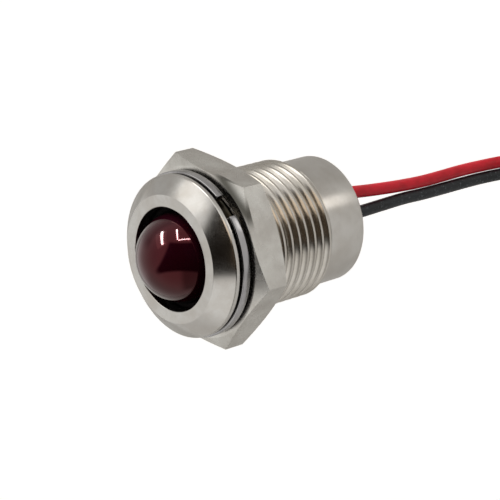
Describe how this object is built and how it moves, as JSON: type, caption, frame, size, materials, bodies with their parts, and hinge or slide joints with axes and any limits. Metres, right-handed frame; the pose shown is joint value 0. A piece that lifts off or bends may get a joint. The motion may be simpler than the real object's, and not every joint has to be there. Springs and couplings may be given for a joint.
{
  "type": "panel pilot light",
  "caption": "Metal panel indicator: a recessed red dome in a cone bezel on a threaded barrel, with a split washer, a hexagon nut and two wire leads.",
  "frame": {"origin": "centre of the seating face under the bezel, which lies on the panel's front", "axes": "+Z along the barrel's axis towards the lens, +Y to the side on which the red lead leaves"},
  "size_m": [0.0182, 0.0194, 0.0952],
  "materials": {
    "nickel_plated_brass": "satin nickel plate on turned brass",
    "nut_nickel": "satin nickel plate",
    "spring_steel": "bright zinc on spring steel",
    "red_lens": "clear deep red, polished",
    "black_rubber": "matte",
    "black_holder": "moulded",
    "red_epoxy": "tinted clear epoxy",
    "tinned_wire": "bright tinned",
    "board_laminate": "green solder mask",
    "resistor_lacquer": "lacquered",
    "diode_epoxy": "moulded epoxy",
    "solder": "bright solder",
    "sleeve_glass_cloth": "varnished glass cloth",
    "potting_epoxy": "cast epoxy",
    "red_pvc": "semi-gloss PVC",
    "black_pvc": "semi-gloss PVC",
    "copper_strand": "bare stranded copper",
    "natural_nylon": "natural nylon"
  },
  "bodies": {
    "housing": {"body": "nickel_plated_brass", "lens": "red_lens", "lens_seal": "black_rubber", "led_holder": "black_holder", "led": "red_epoxy", "led_anode_lead": "tinned_wire", "led_cathode_lead": "tinned_wire", "circuit_board": "board_laminate", "series_resistor": "resistor_lacquer", "resistor_leads": "tinned_wire", "reverse_diode": "diode_epoxy", "diode_leads": "tinned_wire", "solder_joints": "solder", "board_sleeve": "sleeve_glass_cloth", "potting": "potting_epoxy", "red_lead": "red_pvc", "black_lead": "black_pvc", "red_lead_core": "copper_strand", "black_lead_core": "copper_strand", "red_lead_hank": "red_pvc", "black_lead_hank": "black_pvc", "red_lead_tip": "tinned_wire", "black_lead_tip": "tinned_wire", "lead_tie": "natural_nylon"},
    "washer": {"lock_washer": "spring_steel"},
    "nut": {"hex_nut": "nut_nickel"}
  },
  "joints": [
    {"name": "nut_travel", "type": "slide", "parent": "housing", "child": "washer", "axis": [0, 0, 1], "range_m": [-0.0086, 0.0002]},
    {"name": "nut_turn", "type": "hinge", "parent": "washer", "child": "nut", "pos_m": [0, 0, 0], "axis": [0, 0, 1], "range_deg": [-3060, 60]}
  ],
  "couplings": [
    {"joint": "nut_travel", "follows": "nut_turn", "m_per_rad": 0.00015915}
  ]
}
